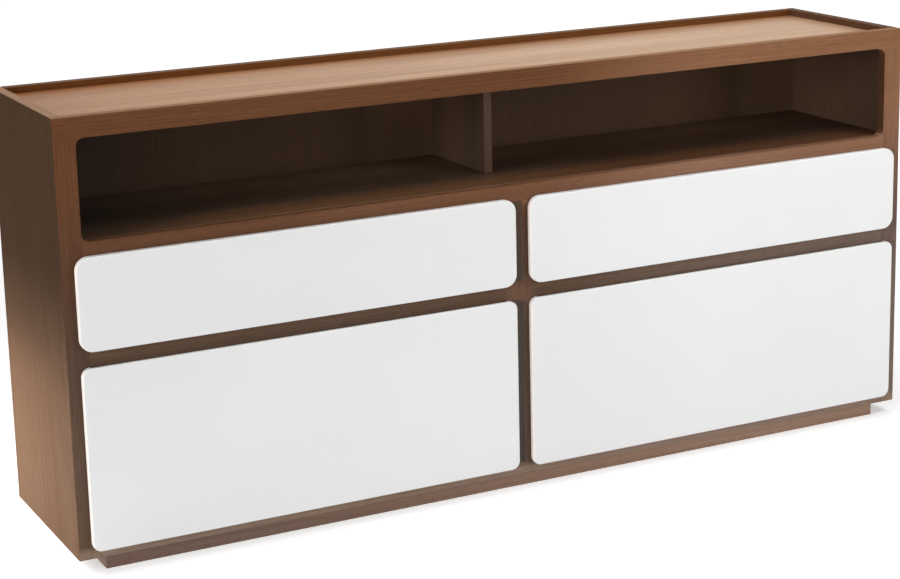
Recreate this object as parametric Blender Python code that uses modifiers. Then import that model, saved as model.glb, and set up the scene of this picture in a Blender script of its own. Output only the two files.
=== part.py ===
"""Low dresser with an open cubby over two rows of drawers.

The carcass is made of boards behind one face frame with rounded openings. Its top
is a shallow tray. Four overlay drawers run on pairs of telescopic runners with three
members each, and the whole stands on a recessed plinth.

World axes: +X to the right, the drawers open towards -Y, +Z up. The origin is on the
floor, below the middle of the whole dresser. Lengths are in metres.
"""

import math

import bmesh
import bpy
from mathutils import Matrix, Vector

# Outer sizes
WIDTH = 1.700
BODY_DEPTH = 0.360
PLINTH_HEIGHT = 0.025

# Heights on the face of the carcass, from the bottom up
BOTTOM_MARGIN = 0.016
LOWER_FRONT_HEIGHT = 0.320
ROW_GAP = 0.027
UPPER_FRONT_HEIGHT = 0.161
SILL_HEIGHT = 0.022
CUBBY_HEIGHT = 0.173
TOP_RAIL_HEIGHT = 0.036

# Widths on the face of the carcass
STILE_WIDTH = 0.039
FRONT_SIDE_MARGIN = 0.0215
FRONT_CENTRE_GAP = 0.029

# Boards of the carcass
SIDE_THICKNESS = 0.019
FRAME_THICKNESS = 0.019
TOP_THICKNESS = 0.019
SHELF_THICKNESS = 0.019
DIVIDER_THICKNESS = 0.016
BOTTOM_THICKNESS = 0.019
PARTITION_THICKNESS = 0.038
BACK_PANEL_THICKNESS = 0.012
BACK_RAIL_THICKNESS = 0.018
BACK_RAIL_HEIGHT = 0.060
RIM_HEIGHT = 0.012
DIVIDER_SETBACK = 0.115
BACK_GROOVE_DEPTH = 0.006
FRAME_EDGE_RADIUS = 0.0015
CUBBY_CORNER_RADIUS = 0.014
OPENING_CORNER_RADIUS = 0.008

# Plinth
PLINTH_THICKNESS = 0.018
PLINTH_SIDE_INSET = 0.048
PLINTH_FRONT_INSET = 0.008
PLINTH_BACK_INSET = 0.020

# Drawer fronts
FRONT_THICKNESS = 0.012
FRONT_STANDOFF = 0.002
UPPER_FRONT_RADIUS = 0.023
LOWER_FRONT_RADIUS = 0.016
FRONT_EDGE_RADIUS = 0.002
LAP_ON_OUTER_RAIL = 0.008
LAP_ON_MIDDLE_RAIL = 0.014
FINGER_BEVEL_DEPTH = 0.007
FINGER_BEVEL_HEIGHT = 0.014

# Drawer boxes
BOX_SIDE_THICKNESS = 0.013
BOX_BACK_THICKNESS = 0.013
BOX_BOTTOM_THICKNESS = 0.008
BOX_BOTTOM_RISE = 0.012
BOX_GROOVE_DEPTH = 0.006
BOX_FLOOR_CLEARANCE = 0.012
BOX_HEADROOM = 0.027
BOX_BACK_CLEARANCE = 0.032
BOARD_EDGE_RADIUS = 0.0008

# Telescopic runners
RUNNER_SPACE = 0.0127
RUNNER_HEIGHT = 0.045
RUNNER_RISE = 0.050
RUNNER_FRONT_SETBACK = 0.003
RUNNER_BACK_CLEARANCE = 0.027
RUNNER_WALL = 0.0012
RUNNER_FLANGE_REACH = 0.0100
RUNNER_LIP = 0.0035
RUNNER_SLACK = 0.0004
RUNNER_BEND_RADIUS = 0.0011
INNER_MEMBER_SHORTER = 0.006

# Fits
JOINT_GAP = 0.0003
CUT_OVERRUN = 0.004
CORNER_STEPS = 10
FRAME_EDGE_STEPS = 2
FRONT_EDGE_STEPS = 3
BEND_STEPS = 2

# Planes worked out from the sizes above
CARCASS_HEIGHT = (BOTTOM_MARGIN + LOWER_FRONT_HEIGHT + ROW_GAP + UPPER_FRONT_HEIGHT
                  + SILL_HEIGHT + CUBBY_HEIGHT + TOP_RAIL_HEIGHT)
CARCASS_BASE = PLINTH_HEIGHT
CARCASS_TOP = CARCASS_BASE + CARCASS_HEIGHT
HALF_WIDTH = WIDTH / 2
FRONT_FACE_Y = -(BODY_DEPTH + FRONT_THICKNESS + FRONT_STANDOFF) / 2
FRONT_REAR_Y = FRONT_FACE_Y + FRONT_THICKNESS
FRAME_FACE_Y = FRONT_REAR_Y + FRONT_STANDOFF
FRAME_REAR_Y = FRAME_FACE_Y + FRAME_THICKNESS
BOARDS_FRONT_Y = FRAME_REAR_Y + JOINT_GAP
BODY_BACK_Y = FRAME_FACE_Y + BODY_DEPTH
BACK_RAIL_FRONT_Y = BODY_BACK_Y - BACK_RAIL_THICKNESS
BACK_PANEL_REAR_Y = BACK_RAIL_FRONT_Y - JOINT_GAP
BACK_PANEL_FRONT_Y = BACK_PANEL_REAR_Y - BACK_PANEL_THICKNESS
BOARDS_BACK_Y = BACK_PANEL_FRONT_Y - JOINT_GAP

LOWER_FRONT_Z = CARCASS_BASE + BOTTOM_MARGIN
UPPER_FRONT_Z = LOWER_FRONT_Z + LOWER_FRONT_HEIGHT + ROW_GAP
CUBBY_FLOOR_Z = UPPER_FRONT_Z + UPPER_FRONT_HEIGHT + SILL_HEIGHT
CUBBY_HEAD_Z = CUBBY_FLOOR_Z + CUBBY_HEIGHT
TOP_FACE_Z = CARCASS_TOP - RIM_HEIGHT
TOP_UNDERSIDE_Z = TOP_FACE_Z - TOP_THICKNESS
SHELF_UNDERSIDE_Z = CUBBY_FLOOR_Z - SHELF_THICKNESS
BOTTOM_TOP_Z = CARCASS_BASE + BOTTOM_THICKNESS

SIDE_INNER_X = HALF_WIDTH - SIDE_THICKNESS
OPENING_OUTER_X = HALF_WIDTH - STILE_WIDTH
OPENING_INNER_X = PARTITION_THICKNESS / 2
FRONT_OUTER_X = HALF_WIDTH - FRONT_SIDE_MARGIN
FRONT_INNER_X = FRONT_CENTRE_GAP / 2
BOX_OUTER_X = OPENING_OUTER_X - RUNNER_SPACE
BOX_INNER_X = OPENING_INNER_X + RUNNER_SPACE
BOX_FRONT_Y = FRONT_REAR_Y + JOINT_GAP
BOX_REAR_Y = BACK_PANEL_FRONT_Y - BOX_BACK_CLEARANCE
RUNNER_FRONT_Y = FRAME_FACE_Y + RUNNER_FRONT_SETBACK
RUNNER_REAR_Y = BACK_PANEL_FRONT_Y - RUNNER_BACK_CLEARANCE

# Each row: front's lower edge, front's height, corner radius, laps below and above,
# and whether the finger bevel is along the top edge
ROWS = {
    "lower": (LOWER_FRONT_Z, LOWER_FRONT_HEIGHT, LOWER_FRONT_RADIUS,
              LAP_ON_OUTER_RAIL, LAP_ON_MIDDLE_RAIL, True),
    "upper": (UPPER_FRONT_Z, UPPER_FRONT_HEIGHT, UPPER_FRONT_RADIUS,
              LAP_ON_MIDDLE_RAIL, LAP_ON_OUTER_RAIL, False),
}
HANDS = {"left": -1, "right": 1}


def clear_scene():
    """Remove every object that the scene starts with."""
    for old in list(bpy.data.objects):
        bpy.data.objects.remove(old, do_unlink=True)


def new_collection(name):
    """A collection linked to the scene."""
    collection = bpy.data.collections.new(name)
    bpy.context.scene.collection.children.link(collection)
    return collection


def new_material(name, colour, roughness, metallic):
    """A plain Principled material."""
    material = bpy.data.materials.new(name)
    material.use_nodes = True
    shader = material.node_tree.nodes["Principled BSDF"]
    shader.inputs["Base Color"].default_value = (*colour, 1.0)
    shader.inputs["Roughness"].default_value = roughness
    shader.inputs["Metallic"].default_value = metallic
    material.diffuse_color = (*colour, 1.0)
    return material


def add_object(name, mesh, collection, location, parent=None, material=None):
    """Put a mesh in the scene at a world location, under its parent."""
    thing = bpy.data.objects.new(name, mesh)
    collection.objects.link(thing)
    offset = parent.location if parent else Vector((0, 0, 0))
    thing.parent = parent
    thing.location = Vector(location) - offset
    if material:
        mesh.materials.append(material)
    return thing


def box_mesh(name, size):
    """A box around its own centre."""
    mesh = bpy.data.meshes.new(name)
    form = bmesh.new()
    bmesh.ops.create_cube(form, size=1.0, matrix=Matrix.Diagonal((*size, 1.0)))
    form.to_mesh(mesh)
    form.free()
    return mesh


def centre_and_size(x, y, z):
    """Centre and size of the box that spans three (low, high) pairs."""
    spans = (x, y, z)
    centre = Vector([(low + high) / 2 for low, high in spans])
    size = Vector([high - low for low, high in spans])
    return centre, size


def round_edges(mesh, radius, wanted):
    """Round the edges for which wanted(first, second) is true."""
    form = bmesh.new()
    form.from_mesh(mesh)
    edges = [edge for edge in form.edges if wanted(edge.verts[0].co, edge.verts[1].co)]
    bmesh.ops.bevel(form, geom=edges, offset=radius, segments=CORNER_STEPS,
                    profile=0.5, affect="EDGES", clamp_overlap=True)
    form.to_mesh(mesh)
    form.free()


def runs_along(axis):
    """A test for edges that run along one axis, for round_edges."""
    others = [i for i in range(3) if i != axis]

    def test(first, second):
        return all(abs(first[i] - second[i]) < JOINT_GAP for i in others)
    return test


def ease_edges(thing, radius, steps=1):
    """Break the sharp edges of a board, or round them if it takes more steps than one."""
    bevel = thing.modifiers.new("eased edges", "BEVEL")
    bevel.width = radius
    bevel.segments = steps
    bevel.limit_method = "ANGLE"
    bevel.angle_limit = math.radians(60)


def board(name, x, y, z, material, parent=None, ease=BOARD_EDGE_RADIUS):
    """A flat board that spans three (low, high) pairs, with broken edges."""
    centre, size = centre_and_size(x, y, z)
    thing = add_object(name, box_mesh(name, size), parts, centre, parent, material)
    if ease:
        ease_edges(thing, ease)
    return thing


def cutter(name, x, y, z, radius=0, axis=1):
    """A box that cuts, with its edges along one axis rounded if a radius is given."""
    centre, size = centre_and_size(x, y, z)
    mesh = box_mesh(name, size)
    if radius:
        round_edges(mesh, radius, runs_along(axis))
    thing = add_object(name, mesh, cutters, centre)
    thing.hide_render = True
    thing.display_type = "WIRE"
    return thing


def cut(thing, tool):
    """Take a cutter out of an object."""
    boolean = thing.modifiers.new(tool.name, "BOOLEAN")
    boolean.operation = "DIFFERENCE"
    boolean.solver = "EXACT"
    boolean.object = tool


def mirrored(low, high, sign):
    """The (low, high) pair of a span on the side that sign names."""
    return (low, high) if sign > 0 else (-high, -low)


def front_span(sign):
    """The width that a drawer front covers on one side."""
    return mirrored(FRONT_INNER_X, FRONT_OUTER_X, sign)


def opening_heights(row):
    """Bottom and top of a row's openings in the face frame."""
    base, height, _, lap_below, lap_above, _ = ROWS[row]
    return base + lap_below, base + height - lap_above


def build_side_panels():
    """The two sides, each grooved for the back panel."""
    for hand, sign in HANDS.items():
        x = mirrored(SIDE_INNER_X, HALF_WIDTH, sign)
        panel = board(f"side_panel_{hand}", x, (BOARDS_FRONT_Y, BODY_BACK_Y),
                      (CARCASS_BASE, CARCASS_TOP), veneer)
        groove_x = mirrored(SIDE_INNER_X - CUT_OVERRUN, SIDE_INNER_X + BACK_GROOVE_DEPTH, sign)
        groove = cutter(f"cut_back_groove_{hand}", groove_x,
                        (BACK_PANEL_FRONT_Y - JOINT_GAP, BACK_PANEL_REAR_Y + JOINT_GAP),
                        (CARCASS_BASE - CUT_OVERRUN, TOP_UNDERSIDE_Z))
        cut(panel, groove)


def build_face_frame():
    """One plate across the whole face, with five openings and soft edges all round."""
    centre, size = centre_and_size((-HALF_WIDTH, HALF_WIDTH), (FRAME_FACE_Y, FRAME_REAR_Y),
                                   (CARCASS_BASE, CARCASS_TOP))
    frame = add_object("face_frame", box_mesh("face_frame", size), parts, centre, None, veneer)
    through = (FRAME_FACE_Y - CUT_OVERRUN, FRAME_REAR_Y + CUT_OVERRUN)
    cubby = cutter("cut_cubby", (-OPENING_OUTER_X, OPENING_OUTER_X), through,
                   (CUBBY_FLOOR_Z, CUBBY_HEAD_Z), CUBBY_CORNER_RADIUS)
    cut(frame, cubby)
    for row in ROWS:
        for hand, sign in HANDS.items():
            x = mirrored(OPENING_INNER_X, OPENING_OUTER_X, sign)
            opening = cutter(f"cut_{row}_{hand}", x, through, opening_heights(row),
                             OPENING_CORNER_RADIUS)
            cut(frame, opening)
    ease_edges(frame, FRAME_EDGE_RADIUS, FRAME_EDGE_STEPS)


def build_horizontal_boards():
    """Top tray board, cubby shelf and bottom board, between the sides."""
    x = (-SIDE_INNER_X + JOINT_GAP, SIDE_INNER_X - JOINT_GAP)
    board("top_board", x, (BOARDS_FRONT_Y, BACK_RAIL_FRONT_Y - JOINT_GAP),
          (TOP_UNDERSIDE_Z, TOP_FACE_Z), veneer)
    board("cubby_shelf", x, (BOARDS_FRONT_Y, BOARDS_BACK_Y),
          (SHELF_UNDERSIDE_Z, CUBBY_FLOOR_Z), veneer)
    board("bottom_board", x, (BOARDS_FRONT_Y, BOARDS_BACK_Y),
          (CARCASS_BASE, BOTTOM_TOP_Z), veneer)


def build_back():
    """Back panel in the grooves of the sides, and the rail that forms the tray's rear rim."""
    reach = SIDE_INNER_X + BACK_GROOVE_DEPTH - JOINT_GAP
    board("back_panel", (-reach, reach), (BACK_PANEL_FRONT_Y, BACK_PANEL_REAR_Y),
          (CARCASS_BASE, TOP_UNDERSIDE_Z - JOINT_GAP), back_board)
    x = (-SIDE_INNER_X + JOINT_GAP, SIDE_INNER_X - JOINT_GAP)
    board("back_rim_rail", x, (BACK_RAIL_FRONT_Y, BODY_BACK_Y),
          (CARCASS_TOP - BACK_RAIL_HEIGHT, CARCASS_TOP), veneer)


def build_uprights():
    """Cubby divider, centre partition and the packers that carry the outer runners."""
    half = DIVIDER_THICKNESS / 2
    board("cubby_divider", (-half, half), (FRAME_FACE_Y + DIVIDER_SETBACK, BOARDS_BACK_Y),
          (CUBBY_FLOOR_Z + JOINT_GAP, TOP_UNDERSIDE_Z - JOINT_GAP), veneer)
    z = (BOTTOM_TOP_Z + JOINT_GAP, SHELF_UNDERSIDE_Z - JOINT_GAP)
    board("centre_partition", (-OPENING_INNER_X, OPENING_INNER_X),
          (BOARDS_FRONT_Y, BOARDS_BACK_Y), z, carcass_board)
    for hand, sign in HANDS.items():
        x = mirrored(OPENING_OUTER_X, SIDE_INNER_X - JOINT_GAP, sign)
        board(f"runner_packer_{hand}", x, (BOARDS_FRONT_Y, BOARDS_BACK_Y), z, carcass_board)


def build_plinth():
    """Four boards on edge, set back below the carcass."""
    z = (0, PLINTH_HEIGHT - JOINT_GAP)
    outer = HALF_WIDTH - PLINTH_SIDE_INSET
    inner = outer - PLINTH_THICKNESS
    front = FRAME_FACE_Y + PLINTH_FRONT_INSET
    back = BODY_BACK_Y - PLINTH_BACK_INSET
    board("plinth_front", (-outer, outer), (front, front + PLINTH_THICKNESS), z, veneer)
    board("plinth_back", (-outer, outer), (back - PLINTH_THICKNESS, back), z, veneer)
    y = (front + PLINTH_THICKNESS + JOINT_GAP, back - PLINTH_THICKNESS - JOINT_GAP)
    for hand, sign in HANDS.items():
        board(f"plinth_{hand}", mirrored(inner, outer, sign), y, z, veneer)


def drawer_origin(name, row, sign):
    """An empty on the drawer's line of travel, at the middle of its front."""
    base, height = ROWS[row][:2]
    centre, _ = centre_and_size(front_span(sign), (FRONT_FACE_Y, FRONT_REAR_Y),
                                (base, base + height))
    empty = bpy.data.objects.new(name, None)
    parts.objects.link(empty)
    empty.location = centre
    return empty


def finger_bevel(name, x, z_edge, upward):
    """A prism that bevels the rear edge of a front where the fingers go behind it."""
    mesh = bpy.data.meshes.new(name)
    form = bmesh.new()
    reach = FINGER_BEVEL_DEPTH * (FINGER_BEVEL_HEIGHT + CUT_OVERRUN) / FINGER_BEVEL_HEIGHT
    side = -1 if upward else 1
    corners = (
        (0, side * FINGER_BEVEL_HEIGHT),
        (-reach, -side * CUT_OVERRUN),
        (0, -side * CUT_OVERRUN),
        (CUT_OVERRUN, -side * CUT_OVERRUN),
        (CUT_OVERRUN, side * FINGER_BEVEL_HEIGHT),
    )
    ring = [form.verts.new((x[0], y, z)) for y, z in corners]
    face = form.faces.new(ring)
    grown = bmesh.ops.extrude_face_region(form, geom=[face])
    moved = [item for item in grown["geom"] if isinstance(item, bmesh.types.BMVert)]
    bmesh.ops.translate(form, verts=moved, vec=(x[1] - x[0], 0, 0))
    bmesh.ops.recalc_face_normals(form, faces=form.faces)
    form.to_mesh(mesh)
    form.free()
    thing = add_object(name, mesh, cutters, (0, FRONT_REAR_Y, z_edge))
    thing.hide_render = True
    thing.display_type = "WIRE"
    return thing


def build_front(drawer, row, sign, empty):
    """A lacquered front with rounded corners, eased edges and a finger bevel behind."""
    base, height, radius, _, _, bevel_on_top = ROWS[row]
    x = front_span(sign)
    centre, size = centre_and_size(x, (FRONT_FACE_Y, FRONT_REAR_Y), (base, base + height))
    name = f"{drawer}_front"
    mesh = box_mesh(name, size)
    round_edges(mesh, radius, runs_along(1))
    front = add_object(name, mesh, parts, centre, empty, lacquer)
    ease_edges(front, FRONT_EDGE_RADIUS, FRONT_EDGE_STEPS)
    z_edge = base + height if bevel_on_top else base
    bevel = finger_bevel(f"cut_{drawer}_finger_bevel", (x[0] + radius, x[1] - radius),
                         z_edge, bevel_on_top)
    cut(front, bevel)
    mesh.shade_smooth()
    mesh.set_sharp_from_angle(angle=math.radians(30))
    return front


def build_box(drawer, row, sign, empty, front):
    """Sides, back and grooved-in bottom of one drawer."""
    low, high = opening_heights(row)
    z = (low + BOX_FLOOR_CLEARANCE, high - BOX_HEADROOM)
    y = (BOX_FRONT_Y, BOX_REAR_Y)
    inner = BOX_INNER_X + BOX_SIDE_THICKNESS
    outer = BOX_OUTER_X - BOX_SIDE_THICKNESS
    sides = [
        board(f"{drawer}_side_inner", mirrored(BOX_INNER_X, inner, sign), y, z, box_wood, empty),
        board(f"{drawer}_side_outer", mirrored(outer, BOX_OUTER_X, sign), y, z, box_wood, empty),
    ]
    bottom_x = mirrored(inner - BOX_GROOVE_DEPTH + JOINT_GAP,
                        outer + BOX_GROOVE_DEPTH - JOINT_GAP, sign)
    bottom_y = (FRONT_REAR_Y - BOX_GROOVE_DEPTH + JOINT_GAP, BOX_REAR_Y)
    bottom_z = (z[0] + BOX_BOTTOM_RISE, z[0] + BOX_BOTTOM_RISE + BOX_BOTTOM_THICKNESS)
    board(f"{drawer}_bottom", bottom_x, bottom_y, bottom_z, box_panel, empty)
    board(f"{drawer}_back", mirrored(inner + JOINT_GAP, outer - JOINT_GAP, sign),
          (BOX_REAR_Y - BOX_BACK_THICKNESS, BOX_REAR_Y),
          (bottom_z[1] + JOINT_GAP, z[1]), box_wood, empty)
    groove = cutter(f"cut_{drawer}_groove", (bottom_x[0] - JOINT_GAP, bottom_x[1] + JOINT_GAP),
                    (bottom_y[0] - JOINT_GAP, BOX_REAR_Y + CUT_OVERRUN),
                    (bottom_z[0] - JOINT_GAP, bottom_z[1] + JOINT_GAP))
    for grooved in (*sides, front):
        cut(grooved, groove)


def rounded_path(corners, radius):
    """The points of an open path whose inner corners are arcs of one radius."""
    points = [corners[0]]
    for before, corner, after in zip(corners, corners[1:], corners[2:]):
        towards = (before - corner).normalized()
        onwards = (after - corner).normalized()
        half_angle = towards.angle(onwards) / 2
        start = corner + towards * radius / math.tan(half_angle)
        end = corner + onwards * radius / math.tan(half_angle)
        centre = corner + (towards + onwards).normalized() * radius / math.sin(half_angle)
        spoke = start - centre
        turn = spoke.angle_signed(end - centre)
        for step in range(BEND_STEPS + 1):
            points.append(centre + Matrix.Rotation(-turn * step / BEND_STEPS, 2) @ spoke)
    points.append(corners[-1])
    return points


def channel_mesh(name, half_height, web, flange_end, lip_length, length):
    """A folded steel channel with lips, along its own Z axis.

    web and flange_end are the distances of those walls from the board that the
    channel stands on, to the middle of the steel. A negative lip turns outwards.
    """
    lip_height = half_height - lip_length
    corners = [Vector(pair) for pair in (
        (flange_end, -lip_height), (flange_end, -half_height), (web, -half_height),
        (web, half_height), (flange_end, half_height), (flange_end, lip_height))]
    curve = bpy.data.curves.new(name, "CURVE")
    curve.dimensions = "2D"
    curve.fill_mode = "NONE"
    curve.extrude = length / 2
    points = rounded_path(corners, RUNNER_BEND_RADIUS)
    spline = curve.splines.new("POLY")
    spline.points.add(len(points) - 1)
    for item, point in zip(spline.points, points):
        item.co = (point.x, point.y, 0, 1)
    guide = add_object(f"guide_{name}", curve, cutters, (0, 0, 0))
    bpy.context.view_layer.update()
    evaluated = guide.evaluated_get(bpy.context.evaluated_depsgraph_get())
    mesh = bpy.data.meshes.new_from_object(evaluated)
    mesh.name = name
    bpy.data.objects.remove(guide, do_unlink=True)
    form = bmesh.new()
    form.from_mesh(mesh)
    bmesh.ops.remove_doubles(form, verts=form.verts, dist=JOINT_GAP / 10)
    form.to_mesh(mesh)
    form.free()
    return mesh


def runner_meshes(drawer):
    """The three members of a runner: name, mesh and owner of each."""
    length = RUNNER_REAR_Y - RUNNER_FRONT_Y
    step = RUNNER_WALL + RUNNER_SLACK
    half_wall = RUNNER_WALL / 2
    outer_half = RUNNER_HEIGHT / 2 - half_wall
    outer_web = JOINT_GAP + half_wall
    outer_end = RUNNER_FLANGE_REACH - half_wall
    middle_half = outer_half - step
    inner_half = middle_half - RUNNER_LIP - step + half_wall
    catch = middle_half - step - inner_half
    return (
        ("outer_member", channel_mesh(f"{drawer}_outer", outer_half, outer_web, outer_end,
                                      RUNNER_LIP, length), length),
        ("middle_member", channel_mesh(f"{drawer}_middle", middle_half, outer_web + step,
                                       outer_end - step, RUNNER_LIP,
                                       length - INNER_MEMBER_SHORTER),
         length - INNER_MEMBER_SHORTER),
        ("inner_member", channel_mesh(f"{drawer}_inner", inner_half,
                                      RUNNER_SPACE - JOINT_GAP - half_wall,
                                      outer_web + 2 * step, -catch,
                                      length - INNER_MEMBER_SHORTER),
         length - INNER_MEMBER_SHORTER),
    )


def build_runners(drawer, row, sign, empty, middle_empty):
    """Both runners of one drawer, each with three nested members."""
    low, _ = opening_heights(row)
    z = low + BOX_FLOOR_CLEARANCE + RUNNER_RISE
    places = {"inner": (OPENING_INNER_X, 1), "outer": (OPENING_OUTER_X, -1)}
    parents = {"outer_member": None, "middle_member": middle_empty, "inner_member": empty}
    for member, mesh, length in runner_meshes(drawer):
        for place, (x, facing) in places.items():
            name = f"{drawer}_runner_{place}_{member}"
            own_mesh = mesh.copy()
            own_mesh.name = name
            y = RUNNER_FRONT_Y + length / 2
            thing = add_object(name, own_mesh, parts, (sign * x, y, z), parents[member], steel)
            turn = 0 if facing * sign > 0 else math.pi
            thing.rotation_euler = (math.pi / 2, 0, turn)
            wall = thing.modifiers.new("steel thickness", "SOLIDIFY")
            wall.thickness = RUNNER_WALL
            wall.offset = 0
            wall.use_even_offset = True
            own_mesh.shade_smooth()
            own_mesh.set_sharp_from_angle(angle=math.radians(50))
        bpy.data.meshes.remove(mesh)


def build_drawers():
    """Every drawer with its front, box and runners."""
    for row in ROWS:
        for hand, sign in HANDS.items():
            drawer = f"{row}_{hand}_drawer"
            empty = drawer_origin(f"{drawer}_slide", row, sign)
            middle_empty = drawer_origin(f"{drawer}_middle_slide", row, sign)
            front = build_front(drawer, row, sign, empty)
            build_box(drawer, row, sign, empty, front)
            build_runners(drawer, row, sign, empty, middle_empty)


clear_scene()
parts = new_collection("dresser")
cutters = new_collection("cutters")

veneer = new_material("stained walnut veneer", (0.19, 0.09, 0.045), 0.42, 0.0)
lacquer = new_material("white satin lacquer", (0.86, 0.86, 0.85), 0.3, 0.0)
carcass_board = new_material("brown faced board", (0.11, 0.065, 0.04), 0.6, 0.0)
back_board = new_material("dark faced back board", (0.09, 0.05, 0.032), 0.6, 0.0)
box_wood = new_material("drawer side beech", (0.62, 0.45, 0.28), 0.5, 0.0)
box_panel = new_material("drawer bottom panel", (0.66, 0.52, 0.36), 0.55, 0.0)
steel = new_material("zinc plated steel", (0.60, 0.61, 0.62), 0.35, 1.0)

build_side_panels()
build_face_frame()
build_horizontal_boards()
build_back()
build_uprights()
build_plinth()
build_drawers()
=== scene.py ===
"""Looks of the low dresser: finishes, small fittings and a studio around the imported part.

World axes as in the frame: +X to the right, the drawers open towards -Y, +Z up, metres.
Colours are linear red, green and blue. A noise is given by its scale, or its scales along
three axes, and then its detail and its roughness.
"""

import math

import bmesh
import bpy
from mathutils import Matrix, Vector


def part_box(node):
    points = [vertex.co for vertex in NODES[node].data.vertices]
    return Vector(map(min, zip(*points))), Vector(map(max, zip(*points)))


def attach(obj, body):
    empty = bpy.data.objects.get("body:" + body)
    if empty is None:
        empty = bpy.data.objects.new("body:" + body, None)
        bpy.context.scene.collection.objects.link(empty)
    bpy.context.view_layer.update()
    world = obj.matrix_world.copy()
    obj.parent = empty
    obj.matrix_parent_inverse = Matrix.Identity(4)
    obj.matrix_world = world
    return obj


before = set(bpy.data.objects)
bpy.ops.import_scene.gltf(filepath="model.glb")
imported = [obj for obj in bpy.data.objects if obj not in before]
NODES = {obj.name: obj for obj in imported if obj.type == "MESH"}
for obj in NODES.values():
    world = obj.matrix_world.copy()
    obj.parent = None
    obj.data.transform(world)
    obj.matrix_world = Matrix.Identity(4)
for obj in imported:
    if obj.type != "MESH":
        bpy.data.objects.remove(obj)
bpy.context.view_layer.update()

ROWS = ("lower", "upper")
HANDS = {"left": -1, "right": 1}
X, Y, Z = range(3)

# Camera: the lens is shifted, so its axis meets the picture above the middle row
CAMERA_PLACE = (-1.8239, -3.5212, 1.4063)
CAMERA_YAW = 0.4660
CAMERA_PITCH = 0.2301
CAMERA_ROLL = 0.0237
FOCAL_PIXELS = 2178.75
PICTURE_WIDTH_PIXELS = 900
PICTURE_HEIGHT_PIXELS = 579
LENS_AXIS_ROW_PIXELS = 217.5
SENSOR_WIDTH_MM = 36.0
CLIP_END = 100.0

# Studio
FLOOR_HALF_SIZE = 9.0
FLOOR_SEGMENTS = 8
FLOOR_LIGHT = (0.80, 0.80, 0.80)
FLOOR_DARK = (0.79, 0.79, 0.79)
FLOOR_NOISE = (1.3, 2.0, 0.5)
FLOOR_ROUGHNESS = 0.9
FLOOR_SPECULAR = 0.1
FLOOR_LIFT_NEAR = 0.42
FLOOR_LIFT_FAR = 1.0
FLOOR_NEAR_RADIUS = 1.2
FLOOR_FAR_RADIUS = 3.6
AMBIENT_LOW = (0.02, 0.02, 0.02)
AMBIENT_HIGH = (0.03, 0.03, 0.03)
AMBIENT_LIMITS = (-0.1, 0.9)
WHITE = (1.0, 1.0, 1.0)

# Soft lights: name, place, the point each looks at, width and height, and power in watts
SOFTBOXES = (
    ("overhead_softbox", (0.2, 0.22, 2.5), (0.2, 0.22, 0.4), (2.8, 1.4), 43.0),
    ("key_softbox", (1.4, -1.50, 2.9), (0.1, -0.1, 0.4), (2.2, 1.0), 31.0),
    ("right_softbox", (2.4, -3.4, 1.2), (0.2, 0.0, 0.4), (2.0, 1.8), 60.0),
    ("left_softbox", (-6.5, -2.0, 1.4), (-0.1, -0.2, 0.4), (2.6, 2.2), 340.0),
    ("low_left_softbox", (-1.30, 0.28, 0.38), (-1.30, 0.28, 0.0), (0.4, 0.6), 8.0),
)

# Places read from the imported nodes
FRAME_LOW, FRAME_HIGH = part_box("face_frame")
PARTITION_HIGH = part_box("centre_partition")[1]
SHELF_LOW, SHELF_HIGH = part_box("cubby_shelf")
DIVIDER_LOW, DIVIDER_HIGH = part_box("cubby_divider")
SIDE_LOW, SIDE_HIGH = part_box("side_panel_right")
SIDE_MIDDLE_X = (SIDE_LOW.x + SIDE_HIGH.x) / 2
BACK_MIDDLE_Y = sum(corner.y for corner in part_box("back_panel")) / 2
STILE_INNER_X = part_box("runner_packer_right")[0].x
CROSSING_Z = (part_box("lower_left_drawer_front")[1].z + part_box("upper_left_drawer_front")[0].z) / 2

# Parts of the face frame
TOP_RAIL_HEIGHT = 0.036
CUBBY_HEAD_Z = FRAME_HIGH.z - TOP_RAIL_HEIGHT
CUBBY_MIDDLE_Z = (SHELF_HIGH.z + CUBBY_HEAD_Z) / 2
CENTRE_STILE_ABOVE_FRAME_FOOT = 0.024
CENTRE_STILE_BELOW_SHELF = 0.011
CENTRE_STILE_LOW = FRAME_LOW.z + CENTRE_STILE_ABOVE_FRAME_FOOT
CENTRE_STILE_HIGH = SHELF_LOW.z - CENTRE_STILE_BELOW_SHELF
JOINT_LINE_WIDTH = 0.00025
JOINT_LINE_WEIGHT = 0.3
FRAME_EDGE = 0.0015
REVEAL_FROM_END = 0.010

# How squarely a surface has to look along an axis to count as facing it, and between which
# values a broken edge fades into its faces
FACING_LIMIT = 0.75
EASED_LIMITS = (0.72, 0.97)

# Figure of the wood. The first scale of each noise is the one along the grain.
FIGURE_NOISES = {
    "clouds": ((1.6, 7.0, 7.0), 3.0, 0.5),
    "fibres": ((5.0, 420.0, 420.0), 2.0, 0.6),
    "bands": ((0.9, 75.0, 75.0), 3.0, 0.55),
    "swathes": ((0.45, 22.0, 22.0), 2.0, 0.5),
}
FIGURE_WEIGHTS = {"clouds": 0.70, "fibres": 0.60, "bands": 0.55, "swathes": 0.45}
PORE_NOISE = ((38.0, 1500.0, 1500.0), 1.0, 0.4)
PORE_LIMITS = (0.60, 0.70)
PORE_WEIGHT = 0.45
RING_WEIGHT = 0.16
RING_SPACING = 0.0065
RING_LEAN = 0.012
RING_WANDER = 0.034
WANDER_NOISE = ((1.1, 5.0, 5.0), 3.0, 0.55)
PITH_ASIDE = 0.42
PITH_DEEP = 0.13
PIECE_SHIFT = 17.0
ACROSS_SHIFT_SHARE = 0.31
STILE_SHIFT = (3.7, 0.0, 0.0)

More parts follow.
